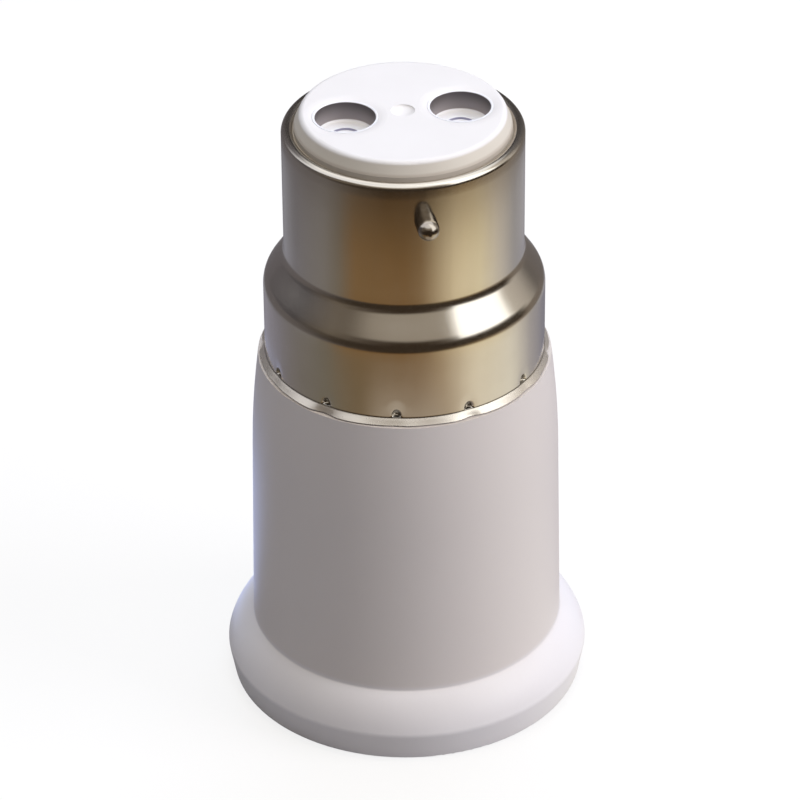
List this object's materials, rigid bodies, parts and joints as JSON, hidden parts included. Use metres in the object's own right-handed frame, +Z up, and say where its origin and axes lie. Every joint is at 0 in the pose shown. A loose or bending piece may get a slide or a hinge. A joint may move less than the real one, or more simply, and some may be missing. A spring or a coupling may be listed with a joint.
{
  "type": "lamp socket adapter",
  "caption": "Straight adapter with a metal bayonet cap at one end and a screw lamp socket in its white flanged body at the other.",
  "frame": {"origin": "centre of the foot, on the plane of the lamp socket's mouth", "axes": "+Z up along the common axis, from the lamp socket's mouth to the bayonet end; X through the two end contacts; Y through the two bayonet pins"},
  "size_m": [0.0344, 0.0344, 0.0602],
  "materials": {
    "white_plastic": "smooth moulded, soft gloss",
    "insulator_plastic": "smooth moulded, soft gloss",
    "nickel_plate": "bright nickel over drawn sheet",
    "pin_plate": "bright nickel over turned brass",
    "eyelet_tin": "dull tin plate",
    "screw_plate": "nickel over rolled sheet",
    "spring_bronze": "bright rolled strip",
    "rivet_brass": "bright, headed",
    "strip_brass": "stamped, dull"
  },
  "bodies": {
    "adapter": {"body": "white_plastic", "screw_shell": "screw_plate", "shell_rivet_neutral": "rivet_brass", "shell_rivet_left": "rivet_brass", "shell_rivet_right": "rivet_brass", "centre_rivet": "rivet_brass", "bayonet_shell": "nickel_plate", "bayonet_pin_front": "pin_plate", "bayonet_pin_rear": "pin_plate", "end_insulator": "insulator_plastic", "contact_eyelet_line": "eyelet_tin", "contact_eyelet_neutral": "eyelet_tin", "line_strip": "strip_brass", "neutral_strip": "strip_brass"},
    "contact_tongue": {"centre_contact": "spring_bronze"}
  },
  "joints": [
    {"name": "contact_spring", "type": "hinge", "parent": "adapter", "child": "contact_tongue", "pos_m": [-0.00217, 0, 0.025], "axis": [0, -1, 0], "range_deg": [0, 15], "stiffness_Nm_per_rad": 0.1, "deforming": ["centre_contact"]}
  ]
}
